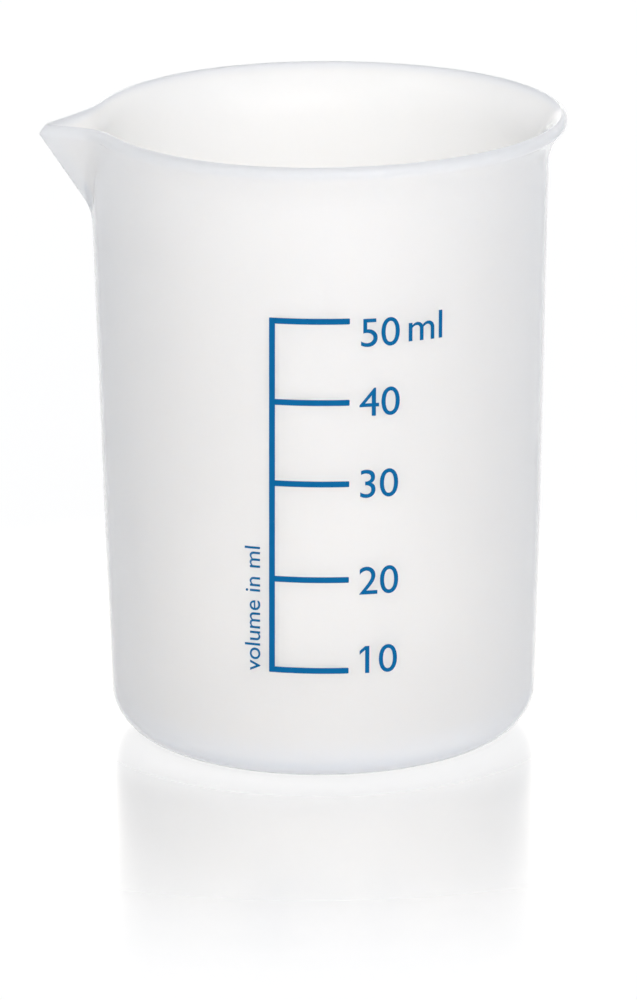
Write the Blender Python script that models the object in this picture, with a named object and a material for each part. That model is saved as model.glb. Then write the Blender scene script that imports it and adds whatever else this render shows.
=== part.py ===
# Low-form laboratory beaker for about 50 ml, moulded in one piece, with a printed scale.
# Metres, +Z up. The base stands on Z = 0 round the Z axis, and the spout points along -X.

import bmesh
import bpy
from math import acos, atan, atan2, cos, pi, radians, sin, sqrt, tan

# Vessel
HEIGHT = 0.060               # base to the crest of the rim
MID_DIAMETER = 0.042         # outside, at half height
DRAFT = radians(1.335)       # lean of the wall, which widens upwards
WALL = 0.0014
FLOOR = 0.0020
BASE_FILLET = 0.0045         # outside corner of the base
FLOOR_FILLET = 0.0030        # inside corner of the floor

# Flared lip: an overhang is how far the middle of its edge stands out past the wall's own line
LIP_OVERHANG = 0.00199
LIP_BEND = 0.0054            # radius of the bend, at the middle of the wall
LIP_ANGLE = radians(48)      # most that the lip leans from the wall
LIP_BESIDE_SPOUT = 0.00055   # overhang where the lip runs into the spout
LIP_FADE_START = radians(15)  # turn from the spout at which the lip begins to widen
LIP_FADE_END = radians(80)   # turn at which it has its full overhang
EDGE_THICKNESS = 0.00115     # to which the lip thins
EDGE_CUT = radians(20)       # lean of the edge's face from square to the lip, towards upright
EDGE_CROWN = 0.0003          # bulge of the edge's face, which flattens at the spout

# Drawn spout
SPOUT_OVERHANG = 0.00495
SPOUT_WIDTH = 0.01136        # along the rim, flank to flank
SPOUT_SLOPE = radians(32.4)  # lean of the spout's ridge from the wall
SPOUT_DROOP = 0.0004         # the tip's crest below the rim's
SPOUT_TIP_ROUND = 0.0003     # rounding of the ridge, along the rim
SPOUT_HOLLOW = 1.5           # 1 gives straight flanks, more draws them in

# Printed scale, on the wall a quarter turn from the spout
PRINT_TURN = radians(-4.5)   # middle of the print, from -Y towards +X
PRINT_LEAN = radians(0.63)   # the whole print stands a little askew on the wall
STEM_OFFSET = -0.00467       # stem's middle from the print's middle, along the wall
LINE_WIDTH = 0.00055
MARK_LENGTH = 0.00685        # from the stem's edge
LOWEST_MARK = 0.0115         # above the base
TOP_MARK_DROP = 0.0148       # below the rim
MARK_PLACES = {10: 0.0, 20: 0.263, 30: 0.538, 40: 0.770, 50: 1.0}  # ml: share of the stem
INK = 0.0001                 # thickness of the ink
INK_GAP = 0.00003            # clearance of the ink to the wall, and of a mark to the stem

# Facets
PLAIN_COLUMNS = 66           # round the lip, between the spout's flanks
FLANK_COLUMNS = 9            # across each flank of the spout
FILLET_STEPS = 6
LIP_STEPS = 10
EDGE_STEPS = 5
MARK_COLUMNS = 8
STEM_ROWS = 6

MILKY = (0.90, 0.91, 0.93, 1.0)
INK_BLUE = (0.002, 0.141, 0.360, 1.0)


def wall_radius(height):
    """Outside radius of the plain wall at a height."""
    return MID_DIAMETER / 2 + (height - HEIGHT / 2) * tan(DRAFT)


SPOUT_HALF_TURN = SPOUT_WIDTH / 2 / wall_radius(HEIGHT)
HALF_EDGE = EDGE_THICKNESS / 2 / cos(EDGE_CUT)


def smooth_step(value):
    """Ease from 0 to 1 as the value goes from 0 to 1."""
    value = min(max(value, 0.0), 1.0)
    return value * value * (3 - 2 * value)


def arc(centre, radius, start, stop, steps):
    """Points (radius, height) along an arc of a section, both ends included."""
    turns = [start + (stop - start) * step / steps for step in range(steps + 1)]
    return [(centre[0] + radius * cos(turn), centre[1] + radius * sin(turn)) for turn in turns]


def spout_share(turn):
    """How much of the spout's overhang the rim has at a turn from the spout: 1 at the tip."""
    if turn >= SPOUT_HALF_TURN:
        return 0.0
    rounding = SPOUT_TIP_ROUND / wall_radius(HEIGHT)
    reach = sqrt(turn ** 2 + rounding ** 2) - rounding
    full_reach = sqrt(SPOUT_HALF_TURN ** 2 + rounding ** 2) - rounding
    return (1 - reach / full_reach) ** SPOUT_HOLLOW


def rim_overhang(turn):
    """How far the rim stands out past the wall's line at a turn from the spout."""
    fade = smooth_step((turn - LIP_FADE_START) / (LIP_FADE_END - LIP_FADE_START))
    lip = LIP_BESIDE_SPOUT + (LIP_OVERHANG - LIP_BESIDE_SPOUT) * fade
    return lip + (SPOUT_OVERHANG - LIP_BESIDE_SPOUT) * spout_share(turn)


def lip_shape(turn):
    """Bend, straight run and lower end of the lip's middle line at a turn from the spout.

    The wall bends outwards at one radius, and past its steepest lean it runs on straight.
    """
    overhang = rim_overhang(turn)
    steepest = SPOUT_SLOPE if turn < SPOUT_HALF_TURN else LIP_ANGLE
    bend = acos(max(1 - overhang / LIP_BEND, cos(steepest)))
    straight = (overhang - LIP_BEND * (1 - cos(bend))) / sin(bend)
    rise = LIP_BEND * sin(bend) + straight * cos(bend)
    crest = HEIGHT - SPOUT_DROOP * spout_share(turn)
    edge_height = crest - HALF_EDGE * sin(DRAFT + bend + EDGE_CUT)
    return bend, straight, edge_height - rise * cos(DRAFT) + overhang * sin(DRAFT)


def lip_point(shape, travel, offset):
    """Point at a distance along the lip's middle line, offset square to it: outwards if positive."""
    bend, _, start_height = shape
    turned = min(travel / LIP_BEND, bend)
    past_bend = travel - LIP_BEND * turned
    out = LIP_BEND * (1 - cos(turned)) + past_bend * sin(turned) + offset * cos(turned)
    up = LIP_BEND * sin(turned) + past_bend * cos(turned) - offset * sin(turned)
    start_radius = wall_radius(start_height) - WALL / 2 / cos(DRAFT)
    radius = start_radius + up * sin(DRAFT) + out * cos(DRAFT)
    return radius, start_height + up * cos(DRAFT) - out * sin(DRAFT)


def lip_side(shape, length, side):
    """Outer (side 1) or inner (side -1) face of the lip, short of its edge, thinning upwards."""
    points = []
    for step in range(LIP_STEPS):
        thickness = WALL + (EDGE_THICKNESS - WALL) * step / LIP_STEPS
        points.append(lip_point(shape, length * step / LIP_STEPS, side * thickness / 2))
    return points


def corner(height, radius, depth):
    """Centre of a fillet between a level face and the wall's face at a depth into the wall."""
    centre_height = height + radius
    return wall_radius(centre_height) - (depth + radius) / cos(DRAFT), centre_height


def edge_face(middle, lean, crown):
    """Crowned face across the rim's edge, from its lower corner over to its crest."""
    half_turn = 2 * atan(crown / HALF_EDGE)
    crown_radius = HALF_EDGE / sin(half_turn)
    back = crown_radius * cos(half_turn)
    centre = (middle[0] - back * sin(lean), middle[1] - back * cos(lean))
    facing = pi / 2 - lean
    return arc(centre, crown_radius, facing - half_turn, facing + half_turn, EDGE_STEPS)


def section(turn):
    """Section at a turn from the spout: underside, outside, rim, inside and floor."""
    shape = lip_shape(turn)
    bend, straight, _ = shape
    length = LIP_BEND * bend + straight
    slant = HALF_EDGE * sin(EDGE_CUT)
    base = arc(corner(0.0, BASE_FILLET, 0.0), BASE_FILLET, -pi / 2, -DRAFT, FILLET_STEPS)
    outside = lip_side(shape, length - slant, 1)
    crown = EDGE_CROWN * (1 - 0.75 * spout_share(turn))
    edge = edge_face(lip_point(shape, length, 0.0), DRAFT + bend + EDGE_CUT, crown)
    inside = lip_side(shape, length + slant, -1)
    floor = arc(corner(FLOOR, FLOOR_FILLET, WALL), FLOOR_FILLET, -DRAFT, -pi / 2, FILLET_STEPS)
    return base + outside + edge + inside[::-1] + floor


def column_turns():
    """Turns of the sections round the axis, closest together at the spout's tip."""
    flank = [SPOUT_HALF_TURN * (step / FLANK_COLUMNS) ** 1.5 for step in range(1, FLANK_COLUMNS + 1)]
    sweep = 2 * (pi - SPOUT_HALF_TURN)
    plain = [SPOUT_HALF_TURN + sweep * step / PLAIN_COLUMNS for step in range(1, PLAIN_COLUMNS)]
    return [0.0] + flank + plain + [-turn for turn in reversed(flank)]


def make_material(name, colour, roughness):
    """Principled material of one colour."""
    material = bpy.data.materials.new(name)
    material.use_nodes = True
    shader = material.node_tree.nodes["Principled BSDF"]
    shader.inputs["Base Color"].default_value = colour
    shader.inputs["Roughness"].default_value = roughness
    shader.inputs["Metallic"].default_value = 0.0
    material.diffuse_color = colour
    return material


def add_object(name, bm, material, parent):
    """Turn a bmesh into a named object with outward faces and smooth round surfaces."""
    bmesh.ops.recalc_face_normals(bm, faces=bm.faces)
    mesh = bpy.data.meshes.new(name)
    bm.to_mesh(mesh)
    bm.free()
    mesh.shade_smooth()
    mesh.set_sharp_from_angle(angle=radians(35))
    mesh.materials.append(material)
    piece = bpy.data.objects.new(name, mesh)
    piece.parent = parent
    bpy.context.scene.collection.objects.link(piece)
    return piece


def add_empty(name, parent):
    """Empty that carries a group of pieces."""
    empty = bpy.data.objects.new(name, None)
    empty.parent = parent
    bpy.context.scene.collection.objects.link(empty)
    return empty


def add_body(material, parent):
    """Vessel: sections lofted round the axis, closed by the floor and the underside."""
    turns = column_turns()
    sections = [section(abs((turn + pi) % (2 * pi) - pi)) for turn in turns]
    bm = bmesh.new()
    rings = []
    for row in zip(*sections):
        ring = []
        for turn, (radius, height) in zip(turns, row):
            ring.append(bm.verts.new((-radius * cos(turn), -radius * sin(turn), height)))
        rings.append(ring)
    for lower, upper in zip(rings, rings[1:]):
        for side in range(len(turns)):
            bm.faces.new((lower[side - 1], lower[side], upper[side], upper[side - 1]))
    bm.faces.new(rings[0])
    bm.faces.new(rings[-1])
    return add_object("beaker_body", bm, material, parent)


def on_wall(across, height, proud):
    """Point of the print: its distance along the wall, its height, and how far off the wall."""
    middle = (LOWEST_MARK + HEIGHT - TOP_MARK_DROP) / 2
    up = height - middle
    height = middle + up * cos(PRINT_LEAN) - across * sin(PRINT_LEAN)
    turn = (across * cos(PRINT_LEAN) + up * sin(PRINT_LEAN)) / wall_radius(height)
    radius = wall_radius(height) + proud
    return radius * sin(turn), -radius * cos(turn), height


def add_ink(name, left, right, bottom, top, columns, rows, material, parent):
    """Printed line: a grid wrapped on the wall and thickened outwards."""
    bm = bmesh.new()
    bmesh.ops.create_grid(bm, x_segments=columns, y_segments=rows, size=0.5)
    for vert in bm.verts:
        across = left + (right - left) * (vert.co.x + 0.5)
        height = bottom + (top - bottom) * (vert.co.y + 0.5)
        vert.co = on_wall(across, height, INK_GAP)
    outer = bmesh.ops.extrude_face_region(bm, geom=bm.faces[:], use_keep_orig=True)
    for vert in outer["geom"]:
        if isinstance(vert, bmesh.types.BMVert):
            turn = atan2(vert.co.y, vert.co.x)
            vert.co.x += INK * cos(turn)
            vert.co.y += INK * sin(turn)
    return add_object(name, bm, material, parent)


def add_scale(material, parent):
    """Stem with a mark for each ten millilitres."""
    half_line = LINE_WIDTH / 2
    top_mark = HEIGHT - TOP_MARK_DROP
    stem_right = STEM_OFFSET + half_line
    add_ink("scale_stem", STEM_OFFSET - half_line, stem_right, LOWEST_MARK - half_line,
            top_mark + half_line, 1, STEM_ROWS, material, parent)
    left = stem_right + INK_GAP
    for volume, share in MARK_PLACES.items():
        height = LOWEST_MARK + (top_mark - LOWEST_MARK) * share
        add_ink(f"graduation_{volume}", left, left + MARK_LENGTH, height - half_line,
                height + half_line, MARK_COLUMNS, 1, material, parent)


def main():
    """Build the beaker in an emptied scene."""
    for item in list(bpy.data.objects):
        bpy.data.objects.remove(item, do_unlink=True)
    beaker = add_empty("beaker", None)
    add_body(make_material("milky_plastic", MILKY, 0.35), beaker)
    printed_scale = add_empty("printed_scale", beaker)
    printed_scale.rotation_euler.z = PRINT_TURN
    add_scale(make_material("printed_ink", INK_BLUE, 0.5), printed_scale)


main()
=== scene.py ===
from math import acos, atan, atan2, cos, pi, radians, sin, sqrt, tan

import bmesh
import bpy
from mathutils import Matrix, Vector


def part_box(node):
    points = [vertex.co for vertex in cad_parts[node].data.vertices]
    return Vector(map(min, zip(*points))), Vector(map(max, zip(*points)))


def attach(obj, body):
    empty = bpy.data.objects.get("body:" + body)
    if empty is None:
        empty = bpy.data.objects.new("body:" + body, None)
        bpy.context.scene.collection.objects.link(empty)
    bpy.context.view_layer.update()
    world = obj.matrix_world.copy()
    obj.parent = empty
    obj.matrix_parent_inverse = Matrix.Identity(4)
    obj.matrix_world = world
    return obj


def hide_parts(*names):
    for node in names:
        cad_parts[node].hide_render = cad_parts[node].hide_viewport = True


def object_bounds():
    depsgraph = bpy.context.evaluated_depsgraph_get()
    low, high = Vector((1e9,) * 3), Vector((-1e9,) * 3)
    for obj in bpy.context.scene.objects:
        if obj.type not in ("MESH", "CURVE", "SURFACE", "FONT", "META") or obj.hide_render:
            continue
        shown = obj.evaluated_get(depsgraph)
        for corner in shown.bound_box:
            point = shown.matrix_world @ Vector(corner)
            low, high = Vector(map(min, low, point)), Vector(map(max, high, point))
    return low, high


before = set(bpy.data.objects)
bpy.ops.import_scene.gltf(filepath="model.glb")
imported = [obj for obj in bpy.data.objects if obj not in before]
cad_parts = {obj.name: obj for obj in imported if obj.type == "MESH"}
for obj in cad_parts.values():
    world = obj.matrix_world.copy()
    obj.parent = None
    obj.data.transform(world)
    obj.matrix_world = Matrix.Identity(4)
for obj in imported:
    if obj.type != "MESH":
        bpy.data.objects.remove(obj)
cadLow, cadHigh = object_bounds()
bpy.ops.object.select_all(action="DESELECT")  # the nodes come in selected
print("frame in:", ", ".join(sorted(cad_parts)))


# camera, fitted to the outline and the print of the photographed beaker
cameraSet = {
    "lens": 239.6,  # mm, with the sensor on the long side of 637 x 1000
    "sensor": 36.0,
    "place": (-0.04793, -0.60896, 0.19725),
    "turn": (radians(74.002), radians(0.487), radians(-4.606)),
}


def addCamera():
    bpy.ops.object.camera_add(location=cameraSet["place"], rotation=cameraSet["turn"])
    camera = bpy.context.object
    camera.name = "photoCamera"
    camera.data.lens = cameraSet["lens"]
    camera.data.sensor_width = cameraSet["sensor"]
    bpy.context.scene.camera = camera
    print("camera placed")


# the moulding: wall, floor, flared lip and spout in one closed skin
moulding = {
    "height": cadHigh.z,
    "midDiameter": 0.042,  # outside, at half height
    "draft": radians(1.335),  # the wall widens upwards
    "wall": 0.0014,
    "floor": 0.0020,
    "baseFillet": 0.0045,
    "floorFillet": 0.0030,
    "gateRadius": 0.0021,  # sunk mark of the gate, in the middle of the underside
    "gateDepth": 0.00018,
    # its rings, as shares of that radius and depth
    "gateRings": ((0.5, 1.0), (0.9, 0.85), (1.0, 0.0)),
    "foot": (0.0015, 0.0055),  # heights over which the thick foot ends
    "footShare": 0.55,  # how milky it is, beside the lip's edge
    "columns": 320,
    "crowding": 0.75,  # draws the columns together at the spout
    "wallRows": 14,
    "filletRows": 10,
    "lipRows": 18,
    "edgeRows": 8,
    "floorRows": 5,
    "blendRows": 4,  # rows inside the lip over which the edge's finish ends and the inside's painted warm glow sets in
    "mergeWithin": 0.000004,
    "smoothTo": radians(40),
}

# an overhang is how far the middle of the edge stands out past the wall's own line
lip = {
    "overhang": 0.00199,
    "bend": 0.0054,
    "angle": radians(48),
    "besideSpout": 0.00055,
    "fadeStart": radians(15),  # turn from the spout where the lip begins to widen
    "fadeEnd": radians(80),
    "edgeThickness": 0.00115,
    "edgeCut": radians(20),
    "edgeCrown": 0.0003,
    "edgeRound": 0.00010,  # soft corners of the edge
    "roundSteps": 3,
}

spout = {
    "overhang": 0.00495,
    "width": 0.0146,
    "slope": radians(32.4),
    "droop": 0.0004,
    "tipRound": 0.0003,
    "hollow": 2.1,
    "flatten": 0.75,  # share of the edge's crown that the tip loses
}


def wallRadius(height):
    return moulding["midDiameter"] / 2 + (height - moulding["height"] / 2) * tan(moulding["draft"])


spoutHalfTurn = spout["width"] / 2 / wallRadius(moulding["height"])
halfEdge = lip["edgeThickness"] / 2 / cos(lip["edgeCut"])


def ease(value):
    value = min(max(value, 0.0), 1.0)
    return value * value * (3 - 2 * value)


def spoutShare(turn):
    # 1 at the tip, 0 past the flanks
    if turn >= spoutHalfTurn:
        return 0.0
    tip = spout["tipRound"] / wallRadius(moulding["height"])
    reach = sqrt(turn ** 2 + tip ** 2) - tip
    fullReach = sqrt(spoutHalfTurn ** 2 + tip ** 2) - tip
    return (1 - reach / fullReach) ** spout["hollow"]


def rimOverhang(turn):
    fade = ease((turn - lip["fadeStart"]) / (lip["fadeEnd"] - lip["fadeStart"]))
    plain = lip["besideSpout"] + (lip["overhang"] - lip["besideSpout"]) * fade
    return plain + (spout["overhang"] - lip["besideSpout"]) * spoutShare(turn)


def lipShape(turn):
    # the wall bends out at one radius, then runs on straight
    overhang = rimOverhang(turn)
    steepest = spout["slope"] if turn < spoutHalfTurn else lip["angle"]
    bend = acos(max(1 - overhang / lip["bend"], cos(steepest)))
    straight = (overhang - lip["bend"] * (1 - cos(bend))) / sin(bend)
    rise = lip["bend"] * sin(bend) + straight * cos(bend)
    crest = moulding["height"] - spout["droop"] * spoutShare(turn)
    edgeHeight = crest - halfEdge * sin(moulding["draft"] + bend + lip["edgeCut"])
    start = edgeHeight - rise * cos(moulding["draft"]) + overhang * sin(moulding["draft"])
    return bend, straight, start


def lipPoint(shape, travel, offset):
    # a point along the lip's middle line, set off square to it
    bend, _, start = shape
    draft = moulding["draft"]
    turned = min(travel / lip["bend"], bend)
    past = travel - lip["bend"] * turned
    out = lip["bend"] * (1 - cos(turned)) + past * sin(turned) + offset * cos(turned)
    up = lip["bend"] * sin(turned) + past * cos(turned) - offset * sin(turned)
    radius = wallRadius(start) - moulding["wall"] / 2 / cos(draft)
    return radius + up * sin(draft) + out * cos(draft), start + up * cos(draft) - out * sin(draft)


def lipSide(shape, length, side):
    points = []
    for row in range(moulding["lipRows"]):
        share = row / moulding["lipRows"]
        thick = moulding["wall"] + (lip["edgeThickness"] - moulding["wall"]) * share
        points.append(lipPoint(shape, length * share, side * thick / 2))
    return points


def arc(centre, radius, start, stop, rows):
    turns = [start + (stop - start) * row / rows for row in range(rows + 1)]
    return [(centre[0] + radius * cos(turn), centre[1] + radius * sin(turn)) for turn in turns]


def between(first, last, rows):
    # points of a straight run, without its two ends
    shares = [row / rows for row in range(1, rows)]
    return [(first[0] + (last[0] - first[0]) * s, first[1] + (last[1] - first[1]) * s) for s in shares]


def filletCentre(height, radius, depth):
    return wallRadius(height + radius) - (depth + radius) / cos(moulding["draft"]), height + radius


def edgeFace(middle, lean, crown):
    halfTurn = 2 * atan(crown / halfEdge)
    radius = halfEdge / sin(halfTurn)
    back = radius * cos(halfTurn)
    centre = (middle[0] - back * sin(lean), middle[1] - back * cos(lean))
    facing = pi / 2 - lean
    return arc(centre, radius, facing - halfTurn, facing + halfTurn, moulding["edgeRows"])


def underside():
    gate, depth = moulding["gateRadius"], moulding["gateDepth"]
    return [(gate * across, depth * deep) for across, deep in moulding["gateRings"]]


def section(turn):
    draft, fillet, rows = moulding["draft"], moulding["baseFillet"], moulding["filletRows"]
    shape = lipShape(turn)
    bend, straight, _ = shape
    length = lip["bend"] * bend + straight
    slant = halfEdge * sin(lip["edgeCut"])
    base = arc(filletCentre(0.0, fillet, 0.0), fillet, -pi / 2, -draft, rows)
    under = underside()
    foot = between(under[-1], base[0], moulding["floorRows"])
    outside = lipSide(shape, length - slant, 1)
    wall = between(base[-1], outside[0], moulding["wallRows"])
    crown = lip["edgeCrown"] * (1 - spout["flatten"] * spoutShare(turn))
    edge = edgeFace(lipPoint(shape, length, 0.0), draft + bend + lip["edgeCut"], crown)
    inside = lipSide(shape, length + slant, -1)[::-1]
    fillet = moulding["floorFillet"]
    corner = arc(filletCentre(moulding["floor"], fillet, moulding["wall"]), fillet, -draft, -pi / 2, rows)
    innerWall = between(inside[-1], corner[0], moulding["wallRows"])
    floor = between(corner[-1], (0.0, moulding["floor"]), moulding["floorRows"])
    runs = [under, foot, base, wall, outside, edge, inside, innerWall, corner, floor]
    firstEdgeRing = sum(len(run) for run in runs[:5])
    return sum(runs, []), firstEdgeRing


def extrudeRings(points):
    # each ring is pulled up from the last one and sized
    radius, height = points[0]
    for nextRadius, nextHeight in points[1:]:
        rise = {"value": (0, 0, nextHeight - height)}
        bpy.ops.mesh.extrude_region_move(TRANSFORM_OT_translate=rise)
        grow = nextRadius / radius
        bpy.ops.transform.resize(value=(grow, grow, 1), center_override=(0, 0, nextHeight))
        radius, height = nextRadius, nextHeight
    bpy.ops.mesh.extrude_region_move()
    bpy.ops.mesh.merge(type="CENTER")


def numberRings(bm):
    # from the middle of the underside, up the wall and down inside to the middle of the floor
    rings = {}
    hubs = [vert for vert in bm.verts if len(vert.link_edges) == moulding["columns"]]
    front = {hubs[0] if hubs[0].co.z < hubs[1].co.z else hubs[1]}
    ring = -1
    while front:
        for vert in front:
            rings[vert] = ring
        around = {edge.other_vert(vert) for vert in front for edge in vert.link_edges}
        front = {vert for vert in around if vert not in rings}
        ring += 1
    return rings


def drawLipAndSpout(rings, ringCount):
    # every column takes the section of its own turn, so the lip narrows into the spout
    columns = moulding["columns"]
    sections = {}
    for vert, ring in rings.items():
        if not 0 <= ring < ringCount:
            continue  # the middles of the underside and the floor
        column = round(atan2(-vert.co.y, -vert.co.x) * columns / (2 * pi))
        turn = column * 2 * pi / columns
        turn -= moulding["crowding"] * sin(turn)
        if column not in sections:
            sections[column], _ = section(abs(turn))
        radius, height = sections[column][ring]
        vert.co = (-radius * cos(turn), -radius * sin(turn), height)


def skinShares(vert, ring, edgeRing, innerRing):
    # what the material reads: where it is milkier, on top of the lip and at the foot, and the inside,
    # which takes a painted warm glow
    rows = moulding["blendRows"]
    past = max(ring - innerRing, 0)
    edge = 0.5 ** past if ring >= edgeRing and past < rows else 0.0  # halves with each row
    footLow, footHigh = moulding["foot"]
    foot = ease((footHigh - vert.co.z) / (footHigh - footLow))
    return max(edge, moulding["footShare"] * foot), ease((ring - innerRing) / rows)


def selectRingEdges(bm, rings, wanted):
    for edge in bm.edges:
        first, last = edge.verts
        edge.select_set(rings[first] == rings[last] and rings[first] in wanted)


def addMoulding():
    points, edgeRing = section(pi)
    radius, height = points[0]
    innerRing = edgeRing + moulding["edgeRows"]
    bpy.ops.mesh.primitive_circle_add(vertices=moulding["columns"], radius=radius, fill_type="TRIFAN",
                                      location=(0, 0, height))
    piece = bpy.context.object
    piece.name = "beaker_moulding"
    bpy.ops.object.transform_apply(location=True, rotation=True, scale=True)
    bpy.ops.object.mode_set(mode="EDIT")
    bpy.ops.mesh.select_mode(type="EDGE")
    bm = bmesh.from_edit_mesh(piece.data)
    for edge in bm.edges:
        edge.select_set(edge.is_boundary)
    extrudeRings(points)
    bpy.ops.mesh.select_all(action="DESELECT")
    bm = bmesh.from_edit_mesh(piece.data)
    thick = bm.verts.layers.float.new("thick")
    inside = bm.verts.layers.float.new("inside")
    rings = numberRings(bm)
    drawLipAndSpout(rings, len(points))
    for vert, ring in rings.items():
        vert[thick], vert[inside] = skinShares(vert, ring, edgeRing, innerRing)
    selectRingEdges(bm, rings, (edgeRing, innerRing))
    bmesh.update_edit_mesh(piece.data)
    bpy.ops.mesh.bevel(offset=lip["edgeRound"], segments=lip["roundSteps"], affect="EDGES")
    bpy.ops.mesh.select_all(action="SELECT")
    bpy.ops.mesh.remove_doubles(threshold=moulding["mergeWithin"])
    bpy.ops.mesh.normals_make_consistent(inside=False)
    bpy.ops.object.mode_set(mode="OBJECT")
    bpy.ops.object.shade_smooth_by_angle(angle=moulding["smoothTo"])
    piece.data.materials.append(milkyPlastic())
    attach(piece, "root")
    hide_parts("beaker_body")
    print("moulding done:", len(piece.data.polygons), "faces")


plasticSet = {
    # the outside's tone is the plastic's near-white with a painted cool shade cast into it
    "outerToneWithCoolShade": (0.966, 0.972, 0.994, 1.0),
    # the inside's tone is the same plastic with a painted warm glow of the lit interior
    "innerToneWithWarmGlow": (1.0, 0.942, 0.866, 1.0),
    "cloudTone": (0.96, 0.962, 0.975, 1.0),
    "cloudShare": 0.3,
    "cloudScale": 90.0,  # per metre
    "cloudDetail": 3.0,
    "clear": 0.5,  # share of the light that goes straight through
    "thickClear": 0.25,  # at the lip's cut edge and the foot
    "depthTone": (0.53, 0.64, 0.77, 1.0),
    "depthDensity": 52.0,
    "scatter": 0.004,
    "scatterTint": (1.05, 1.0, 0.95),
    "ior": 1.40,
    "gloss": (0.40, 0.52),  # roughness from and to
    "grainScale": 2600.0,
    "grainDetail": 4.0,
    "grainShare": 0.4,  # strength of the bump
    "grainHeight": 0.000012,
    "sheenSpan": (0.74, 0.93),  # turned this far away, the skin starts to mirror and mirrors fully
    "sheenGloss": 0.15,  # roughness
}


def newMaterial(name):
    material = bpy.data.materials.new(name)
    material.use_nodes = True
    tree = material.node_tree
    return material, tree, tree.nodes["Principled BSDF"]


def addNode(tree, kind, **values):
    node = tree.nodes.new(kind)
    for name, value in values.items():
        setattr(node, name, value)
    return node


def noiseOn(tree, scale, detail):
    place = addNode(tree, "ShaderNodeTexCoord")
    noise = addNode(tree, "ShaderNodeTexNoise")
    noise.inputs["Scale"].default_value = scale
    noise.inputs["Detail"].default_value = detail
    tree.links.new(place.outputs["Object"], noise.inputs["Vector"])
    return noise.outputs["Fac"]


def blendTones(tree, share, first, second):
    # a tone is a colour or the socket that gives it
    mix = tree.nodes.new("ShaderNodeMix")
    mix.data_type = "RGBA"
    tree.links.new(share, mix.inputs["Factor"])
    for name, tone in (("A", first), ("B", second)):
        socket = [put for put in mix.inputs if put.name == name and put.type == "RGBA"][0]
        if isinstance(tone, tuple):
            socket.default_value = tone
        else:
            tree.links.new(tone, socket)
    return [out for out in mix.outputs if out.type == "RGBA"][0]


def spread(tree, share, low, high):
    # low where the share is 0, high where it is 1; low may be a socket
    span = addNode(tree, "ShaderNodeMapRange")
    tree.links.new(share, span.inputs["Value"])
    if isinstance(low, float):
        span.inputs["To Min"].default_value = low
    else:
        tree.links.new(low, span.inputs["To Min"])
    span.inputs["To Max"].default_value = high
    return span.outputs["Result"]


def fade(tree, value, span, low, high):
    slope = addNode(tree, "ShaderNodeMapRange", interpolation_type="SMOOTHSTEP")
    slope.inputs["From Min"].default_value, slope.inputs["From Max"].default_value = span
    slope.inputs["To Min"].default_value = low
    slope.inputs["To Max"].default_value = high
    tree.links.new(value, slope.inputs["Value"])
    return slope.outputs["Result"]


def skinShare(tree, name):
    share = addNode(tree, "ShaderNodeAttribute", attribute_name=name)
    return share.outputs["Fac"]


def milkyPlastic():
    material, tree, shader = newMaterial("milkyPlastic")
    # the outside takes a painted cool shade, the inside a painted warm glow
    sidesShadeAndGlow = blendTones(tree, skinShare(tree, "inside"), plasticSet["outerToneWithCoolShade"], plasticSet["innerToneWithWarmGlow"])
    clouds = addNode(tree, "ShaderNodeMath", operation="MULTIPLY")
    tree.links.new(noiseOn(tree, plasticSet["cloudScale"], plasticSet["cloudDetail"]), clouds.inputs[0])
    clouds.inputs[1].default_value = plasticSet["cloudShare"]
    tone = blendTones(tree, clouds.outputs[0], sidesShadeAndGlow, plasticSet["cloudTone"])
    tree.links.new(tone, shader.inputs["Base Color"])
    grain = noiseOn(tree, plasticSet["grainScale"], plasticSet["grainDetail"])
    tree.links.new(spread(tree, grain, *plasticSet["gloss"]), shader.inputs["Roughness"])
    bump = addNode(tree, "ShaderNodeBump")
    bump.inputs["Strength"].default_value = plasticSet["grainShare"]
    bump.inputs["Distance"].default_value = plasticSet["grainHeight"]
    tree.links.new(grain, bump.inputs["Height"])
    tree.links.new(bump.outputs["Normal"], shader.inputs["Normal"])
    shader.inputs["IOR"].default_value = plasticSet["ior"]
    away = addNode(tree, "ShaderNodeLayerWeight")
    sheen = fade(tree, away.outputs["Facing"], plasticSet["sheenSpan"], 0.0, 1.0)
    tree.links.new(sheen, shader.inputs["Coat Weight"])
    shader.inputs["Coat Roughness"].default_value = plasticSet["sheenGloss"]
    clear = spread(tree, skinShare(tree, "thick"), plasticSet["clear"], plasticSet["thickClear"])
    inner = addNode(tree, "ShaderNodeNewGeometry")
    through = spread(tree, inner.outputs["Backfacing"], clear, 1.0)  # light in the wall gets out again
    tree.links.new(through, shader.inputs["Transmission Weight"])
    depth = addNode(tree, "ShaderNodeVolumeAbsorption")
    depth.inputs["Color"].default_value = plasticSet["depthTone"]
    depth.inputs["Density"].default_value = plasticSet["depthDensity"]
    tree.links.new(depth.outputs["Volume"], tree.nodes["Material Output"].inputs["Volume"])
    shader.inputs["Subsurface Weight"].default_value = 1.0
    shader.inputs["Subsurface Radius"].default_value = plasticSet["scatterTint"]
    shader.inputs["Subsurface Scale"].default_value = plasticSet["scatter"]
    return material


# the print: thin films of ink that lie round the wall, a little askew like the whole print
printSet = {
    "turn": radians(-4.5),  # middle of the print, from -Y towards +X
    "lean": radians(0.63),
    "gap": 0.00002,  # off the wall
    "film": 0.00004,
    "column": 0.0005,  # widest facet round the wall
    "cornerRound": 0.00008,
    "cornerSteps": 4,
    "mergeWithin": 1e-7,
    "smoothTo": radians(30),
    "pivot": sum(corner.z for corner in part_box("scale_stem")) / 2,
}


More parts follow.
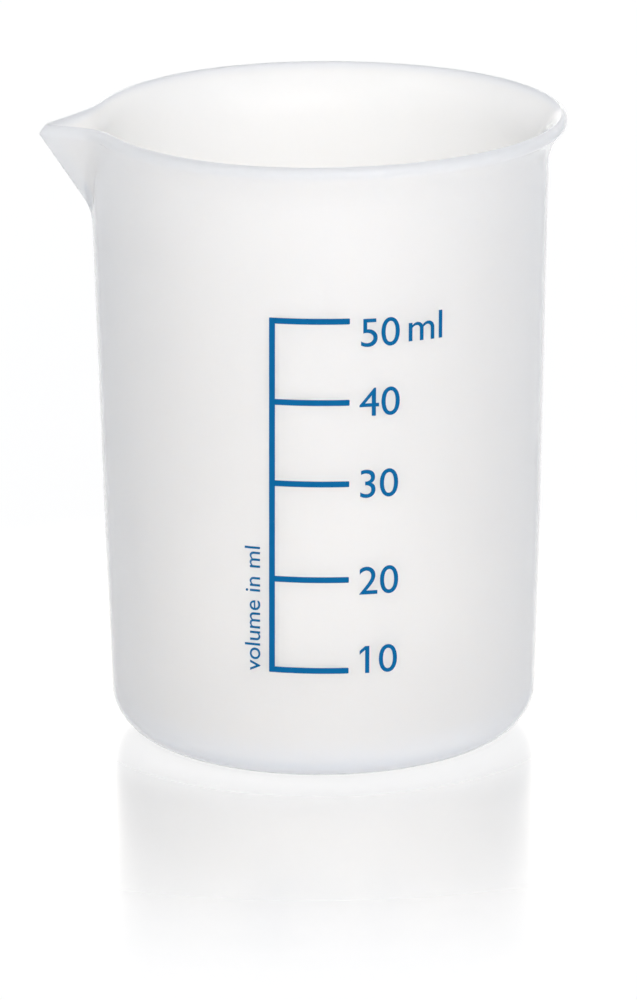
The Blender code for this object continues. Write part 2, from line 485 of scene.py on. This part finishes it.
def wrapOnWall(across, height):
    lean = printSet["lean"]
    up = height - printSet["pivot"]
    height = printSet["pivot"] + up * cos(lean) - across * sin(lean)
    turn = (across * cos(lean) + up * sin(lean)) / wallRadius(height) + printSet["turn"]
    radius = wallRadius(height) + printSet["gap"]
    return radius * sin(turn), -radius * cos(turn), height


def unwrap(point):
    # the other way: a point of the frame to its place on the flat print
    lean = printSet["lean"]
    along = (atan2(point.x, -point.y) - printSet["turn"]) * wallRadius(point.z)
    up = point.z - printSet["pivot"]
    return along * cos(lean) - up * sin(lean), printSet["pivot"] + up * cos(lean) + along * sin(lean)


def flatBox(node):
    # left, right, bottom and top of a printed line of the frame
    places = [unwrap(vert.co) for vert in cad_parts[node].data.vertices]
    acrosses, heights = zip(*places)
    return min(acrosses), max(acrosses), min(heights), max(heights)


def layOnWall(piece, name):
    # cuts the flat shape into columns, bends it round the wall and gives it the ink's thickness
    piece.name = name
    bpy.ops.object.mode_set(mode="EDIT")
    acrosses = [vert.co.x for vert in bmesh.from_edit_mesh(piece.data).verts]
    left, right = min(acrosses), max(acrosses)
    cuts = int((right - left) / printSet["column"])
    for cut in range(1, cuts + 1):
        bpy.ops.mesh.select_all(action="SELECT")
        place = left + (right - left) * cut / (cuts + 1)
        bpy.ops.mesh.bisect(plane_co=(place, 0, 0), plane_no=(1, 0, 0))
    bm = bmesh.from_edit_mesh(piece.data)
    for vert in bm.verts:
        vert.co = wrapOnWall(vert.co.x, vert.co.y)
    bmesh.update_edit_mesh(piece.data)
    bpy.ops.object.mode_set(mode="OBJECT")
    thicken = piece.modifiers.new("film", "SOLIDIFY")
    thicken.thickness = printSet["film"]
    thicken.offset = 1.0
    bpy.ops.object.modifier_apply(modifier=thicken.name)
    bpy.ops.object.shade_smooth_by_angle(angle=printSet["smoothTo"])
    piece.data.materials.append(inkBlue())
    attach(piece, "root")
    print("printed", name)


def flatBar(left, right, bottom, top):
    bpy.ops.mesh.primitive_plane_add(size=1.0, location=(0, 0, 0))
    piece = bpy.context.object
    bpy.ops.object.mode_set(mode="EDIT")
    bpy.ops.mesh.select_all(action="SELECT")
    bpy.ops.transform.resize(value=(right - left, top - bottom, 1), center_override=(0, 0, 0))
    bpy.ops.transform.translate(value=((left + right) / 2, (bottom + top) / 2, 0))
    bpy.ops.mesh.bevel(offset=printSet["cornerRound"], segments=printSet["cornerSteps"],
                       affect="VERTICES")
    bpy.ops.object.mode_set(mode="OBJECT")
    return piece


def addScale():
    left, right, bottom, top = flatBox("scale_stem")
    stem = flatBar(left, right, bottom, top)
    layOnWall(stem, "printed_stem")
    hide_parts("scale_stem")
    for volume in numeralSet["places"]:
        node = f"graduation_{volume}"
        _, markRight, bottom, top = flatBox(node)
        mark = flatBar(right - printSet["cornerRound"], markRight, bottom, top)
        layOnWall(mark, f"printed_mark_{volume}")
        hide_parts(node)


# numbers beside the marks, and the unit
numeralSet = {
    "height": 0.00267,
    "capShare": 0.69,  # height of a digit over the font's size
    "widen": 1.03,
    # ml: below its mark, and past its end
    "places": {
        10: (0.00031, 0.00104),
        20: (0.00148, 0.00096),
        30: (0.00136, 0.00102),
        40: (0.00134, 0.00092),
        50: (0.00246, 0.00104),
    },
    "unitGap": 0.0009,  # after the top number
    "unitRise": 0.0002,
    "flagReach": 0.00052,  # the one has a flag at its top
    "flagFall": 0.00045,
    "flagDepth": 0.00036,
    "nearEnough": 1e-6,  # to the cut and to the left side
}


def flatText(words, size, widen):
    bpy.ops.object.text_add(location=(0, 0, 0))
    piece = bpy.context.object
    piece.data.body = words
    piece.data.size = size
    bpy.ops.object.convert(target="MESH")
    piece = bpy.context.object
    bpy.ops.object.mode_set(mode="EDIT")
    bpy.ops.mesh.select_all(action="SELECT")
    bpy.ops.mesh.remove_doubles(threshold=printSet["mergeWithin"])
    bpy.ops.transform.resize(value=(widen, 1, 1), center_override=(0, 0, 0))
    bpy.ops.object.mode_set(mode="OBJECT")
    return piece


def addFlag(number):
    # the one's stem is cut below its top, and the upper bit of its left side is drawn out
    bpy.ops.object.mode_set(mode="EDIT")
    bpy.ops.mesh.select_mode(type="FACE")
    bpy.ops.mesh.select_all(action="DESELECT")
    bm = bmesh.from_edit_mesh(number.data)
    left = min(vert.co.x for vert in bm.verts)
    stem = [face for face in bm.faces if face.calc_center_median().x < left + numeralSet["flagReach"]]
    cut = max(vert.co.y for face in stem for vert in face.verts) - numeralSet["flagDepth"]
    for face in stem:
        face.select_set(True)
    bpy.ops.mesh.bisect(plane_co=(0, cut, 0), plane_no=(0, 1, 0))
    bpy.ops.mesh.select_mode(type="EDGE")
    bpy.ops.mesh.select_all(action="DESELECT")
    bm = bmesh.from_edit_mesh(number.data)
    near = numeralSet["nearEnough"]
    for edge in bm.edges:
        if all(vert.co.x < left + near and vert.co.y > cut - near for vert in edge.verts):
            edge.select_set(True)
    drawOut = {"value": (-numeralSet["flagReach"], -numeralSet["flagFall"], 0)}
    bpy.ops.mesh.extrude_region_move(TRANSFORM_OT_translate=drawOut)
    bpy.ops.object.mode_set(mode="OBJECT")


def moveFlat(piece, left, bottom):
    # sets the shape's lower left corner
    bpy.ops.object.mode_set(mode="EDIT")
    bpy.ops.mesh.select_all(action="SELECT")
    corners = [vert.co for vert in bmesh.from_edit_mesh(piece.data).verts]
    across = left - min(corner.x for corner in corners)
    bpy.ops.transform.translate(value=(across, bottom, 0))
    bpy.ops.object.mode_set(mode="OBJECT")


def addNumerals():
    size = numeralSet["height"] / numeralSet["capShare"]
    for volume, (drop, gap) in numeralSet["places"].items():
        _, right, bottom, top = flatBox(f"graduation_{volume}")
        baseline = (bottom + top) / 2 - drop
        number = flatText(str(volume), size, numeralSet["widen"])
        if str(volume).startswith("1"):
            addFlag(number)
        moveFlat(number, right + gap, baseline)
        numberRight = max(vert.co.x for vert in number.data.vertices)
        layOnWall(number, f"numeral_{volume}")
        if volume == max(numeralSet["places"]):
            unit = flatText("ml", size, numeralSet["widen"])
            moveFlat(unit, numberRight + numeralSet["unitGap"], baseline + numeralSet["unitRise"])
            layOnWall(unit, "unit_ml")


# caption that reads up the stem
captionSet = {
    "words": "volume in ml",
    "height": 0.0015,  # of its tall letters
    "widen": 1.08,
    "gap": 0.00085,  # from the stem to the letters' feet
}


def addCaption():
    left, _, bottom, _ = flatBox("scale_stem")
    size = captionSet["height"] / numeralSet["capShare"]
    caption = flatText(captionSet["words"], size, captionSet["widen"])
    bpy.ops.object.mode_set(mode="EDIT")
    for vert in bmesh.from_edit_mesh(caption.data).verts:
        vert.co.x, vert.co.y = -vert.co.y, vert.co.x
    bpy.ops.object.mode_set(mode="OBJECT")
    right = max(vert.co.x for vert in caption.data.vertices)
    low = min(vert.co.y for vert in caption.data.vertices)
    width = right - min(vert.co.x for vert in caption.data.vertices)
    moveFlat(caption, left - captionSet["gap"] - width, bottom - low)
    layOnWall(caption, "caption")


inkSet = {
    "tone": (0.001, 0.108, 0.275, 1.0),
    "thinTone": (0.003, 0.134, 0.335, 1.0),
    "mottleScale": 900.0,
    "mottleDetail": 4.0,
    "roughness": 0.6,
    "shine": 0.05,
}


def inkBlue():
    material = bpy.data.materials.get("inkBlue")
    if material:
        return material
    material, tree, shader = newMaterial("inkBlue")
    mottle = noiseOn(tree, inkSet["mottleScale"], inkSet["mottleDetail"])
    tone = blendTones(tree, mottle, inkSet["tone"], inkSet["thinTone"])
    tree.links.new(tone, shader.inputs["Base Color"])
    shader.inputs["Roughness"].default_value = inkSet["roughness"]
    shader.inputs["Specular IOR Level"].default_value = inkSet["shine"]
    return material


# floor and light
studioSet = {
    "floorSize": 3.0,
    "floorTone": (0.95, 0.95, 0.95, 1.0),
    "floorGloss": 0.2,  # roughness
    "seenTone": (0.14, 0.14, 0.14, 1.0),  # the part of the white floor that takes the shadow
    "fill": 0.90,  # the rest of its white
    "mirror": 0.58,  # soft reflection of the beaker
    "mirrorBlur": 0.24,  # roughness
    "mirrorAtFoot": 0.3,  # share of it at the foot
    "mirrorRise": (0.018, 0.029),  # from the axis
    "mirrorFall": (0.032, 0.078),
    "white": (1.0, 1.0, 1.0, 1.0),  # the backdrop, as it is seen
    "worldTone": (0.84, 0.90, 1.0, 1.0),
    "worldStrength": 0.44,
    "lampDistance": 0.8,
    "lampSize": 0.5,
    "lamps": {
        # name: turn from the camera's side to the right, rise, watts, tone
        "frontLamp": (radians(9), radians(11), 3.25, (1.0, 0.98, 0.98)),
        "rightLamp": (radians(35), radians(25), 0.9, (1.0, 0.98, 0.98)),
        "backRightLamp": (radians(143), radians(20), 0.85, (1.0, 0.98, 0.95)),
        "backLeftLamp": (radians(-140), radians(20), 0.5, (1.0, 0.98, 0.95)),
        "backLamp": (radians(180), radians(18), 0.85, (1.0, 0.95, 0.88)),
        "leftLamp": (radians(-62), radians(48), 0.95, (1.0, 0.97, 0.92)),
    },
}


def seenShare(tree):
    # 1 for rays that come from the camera, straight or by gloss or glass
    path = addNode(tree, "ShaderNodeLightPath")
    first = addNode(tree, "ShaderNodeMath", operation="MAXIMUM")
    second = addNode(tree, "ShaderNodeMath", operation="MAXIMUM")
    tree.links.new(path.outputs["Is Camera Ray"], first.inputs[0])
    tree.links.new(path.outputs["Is Glossy Ray"], first.inputs[1])
    tree.links.new(first.outputs[0], second.inputs[0])
    tree.links.new(path.outputs["Is Transmission Ray"], second.inputs[1])
    return second.outputs[0]


def addWorld():
    world = bpy.data.worlds.new("studioWorld")
    world.use_nodes = True
    tree = world.node_tree
    light = tree.nodes["Background"]
    light.inputs["Color"].default_value = studioSet["worldTone"]
    light.inputs["Strength"].default_value = studioSet["worldStrength"]
    white = addNode(tree, "ShaderNodeBackground")
    white.inputs["Color"].default_value = studioSet["white"]
    mix = addNode(tree, "ShaderNodeMixShader")
    tree.links.new(seenShare(tree), mix.inputs["Fac"])
    tree.links.new(light.outputs[0], mix.inputs[1])
    tree.links.new(white.outputs[0], mix.inputs[2])
    tree.links.new(mix.outputs[0], tree.nodes["World Output"].inputs["Surface"])
    bpy.context.scene.world = world


def mirrorShare(tree):
    # faint at the foot, full a little further out, then gone
    place = addNode(tree, "ShaderNodeTexCoord")
    length = addNode(tree, "ShaderNodeVectorMath", operation="LENGTH")
    tree.links.new(place.outputs["Object"], length.inputs[0])
    share = addNode(tree, "ShaderNodeMath", operation="MULTIPLY")
    rise = fade(tree, length.outputs["Value"], studioSet["mirrorRise"], studioSet["mirrorAtFoot"], 1.0)
    fall = fade(tree, length.outputs["Value"], studioSet["mirrorFall"], studioSet["mirror"], 0.0)
    tree.links.new(rise, share.inputs[0])
    tree.links.new(fall, share.inputs[1])
    return share.outputs[0]


def addFloor():
    bpy.ops.mesh.primitive_plane_add(size=studioSet["floorSize"], location=(0, 0, 0))
    floor = bpy.context.object
    floor.name = "studio_floor"
    material, tree, plain = newMaterial("paleFloor")
    plain.inputs["Base Color"].default_value = studioSet["floorTone"]
    plain.inputs["Roughness"].default_value = studioSet["floorGloss"]
    shaded = addNode(tree, "ShaderNodeBsdfDiffuse")
    shaded.inputs["Color"].default_value = studioSet["seenTone"]
    fill = addNode(tree, "ShaderNodeEmission")
    fill.inputs["Strength"].default_value = studioSet["fill"]
    white = addNode(tree, "ShaderNodeAddShader")
    tree.links.new(shaded.outputs[0], white.inputs[0])
    tree.links.new(fill.outputs[0], white.inputs[1])
    mirror = addNode(tree, "ShaderNodeBsdfAnisotropic")
    mirror.inputs["Roughness"].default_value = studioSet["mirrorBlur"]
    glossy = addNode(tree, "ShaderNodeMixShader")
    tree.links.new(mirrorShare(tree), glossy.inputs["Fac"])
    tree.links.new(white.outputs[0], glossy.inputs[1])
    tree.links.new(mirror.outputs[0], glossy.inputs[2])
    seen = addNode(tree, "ShaderNodeMixShader")
    tree.links.new(seenShare(tree), seen.inputs["Fac"])
    tree.links.new(plain.outputs[0], seen.inputs[1])
    tree.links.new(glossy.outputs[0], seen.inputs[2])
    tree.links.new(seen.outputs[0], tree.nodes["Material Output"].inputs["Surface"])
    floor.data.materials.append(material)


def addLamps():
    target = Vector((0, 0, moulding["height"] / 2))
    for name, (turn, rise, power, tone) in studioSet["lamps"].items():
        turn += cameraSet["turn"][2]
        aside = Vector((sin(turn) * cos(rise), -cos(turn) * cos(rise), sin(rise)))
        aim = (-aside).to_track_quat("-Z", "Y").to_euler()
        place = target + aside * studioSet["lampDistance"]
        bpy.ops.object.light_add(type="AREA", location=place, rotation=aim)
        lamp = bpy.context.object
        lamp.name = name
        lamp.data.shape = "DISK"
        lamp.data.size = studioSet["lampSize"]
        lamp.data.energy = power
        lamp.data.color = tone
    print("lamps:", len(studioSet["lamps"]))


addCamera()
addMoulding()
addScale()
addNumerals()
addCaption()
addWorld()
addFloor()
addLamps()
bpy.context.scene.view_settings.view_transform = "Standard"
